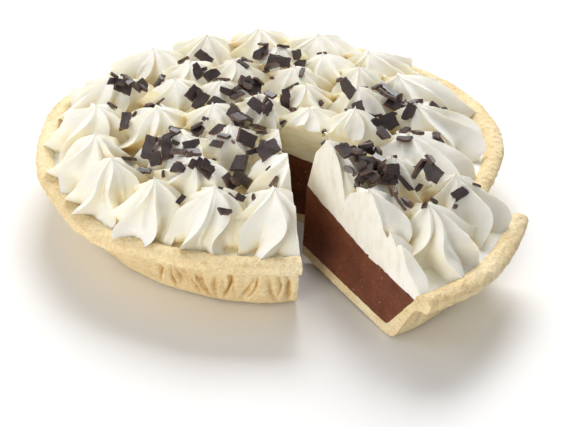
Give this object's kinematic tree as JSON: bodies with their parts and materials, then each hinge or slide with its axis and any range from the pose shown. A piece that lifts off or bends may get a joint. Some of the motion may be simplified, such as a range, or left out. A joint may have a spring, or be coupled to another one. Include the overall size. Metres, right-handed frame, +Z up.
{
  "type": "chocolate cream pie",
  "caption": "Baked pastry crust with domed chocolate filling, whipped cream piped in rosettes and dark chocolate flakes; one slice is drawn part way out.",
  "frame": {"origin": "middle of the pie's flat underside, on the ground", "axes": "+Z up; front at -Y, where the slice is drawn out; +X to the right seen from the front"},
  "size_m": [0.233, 0.2563, 0.0721],
  "materials": {
    "pastry": "matte",
    "chocolate_filling": "satin",
    "whipped_cream": "satin",
    "chocolate_flakes": "satin"
  },
  "bodies": {
    "root": {"pie_chocolate": "chocolate_filling", "pie_cream": "whipped_cream", "pie_crust": "pastry", "rosette_01": "whipped_cream", "rosette_02": "whipped_cream", "rosette_03": "whipped_cream", "rosette_04": "whipped_cream", "rosette_05": "whipped_cream", "rosette_06": "whipped_cream", "rosette_07": "whipped_cream", "rosette_08": "whipped_cream", "rosette_09": "whipped_cream", "rosette_10": "whipped_cream", "rosette_11": "whipped_cream", "rosette_12": "whipped_cream", "rosette_13": "whipped_cream", "rosette_14": "whipped_cream", "rosette_15": "whipped_cream", "rosette_18": "whipped_cream", "rosette_19": "whipped_cream", "rosette_20": "whipped_cream", "rosette_21": "whipped_cream", "rosette_22": "whipped_cream", "rosette_23": "whipped_cream", "rosette_24": "whipped_cream", "rosette_25": "whipped_cream", "rosette_26": "whipped_cream", "rosette_27": "whipped_cream", "rosette_28": "whipped_cream", "rosette_29": "whipped_cream", "rosette_30": "whipped_cream", "rosette_31": "whipped_cream", "rosette_32": "whipped_cream", "rosette_33": "whipped_cream", "rosette_34": "whipped_cream", "rosette_35": "whipped_cream", "rosette_36": "whipped_cream", "rosette_38": "whipped_cream", "slice_chocolate": "chocolate_filling", "slice_cream": "whipped_cream", "slice_crust": "pastry", "slice_rosette_01": "whipped_cream", "slice_rosette_16": "whipped_cream", "slice_rosette_17": "whipped_cream", "slice_rosette_35": "whipped_cream", "slice_rosette_36": "whipped_cream", "slice_rosette_37": "whipped_cream"}
  },
  "joints": []
}
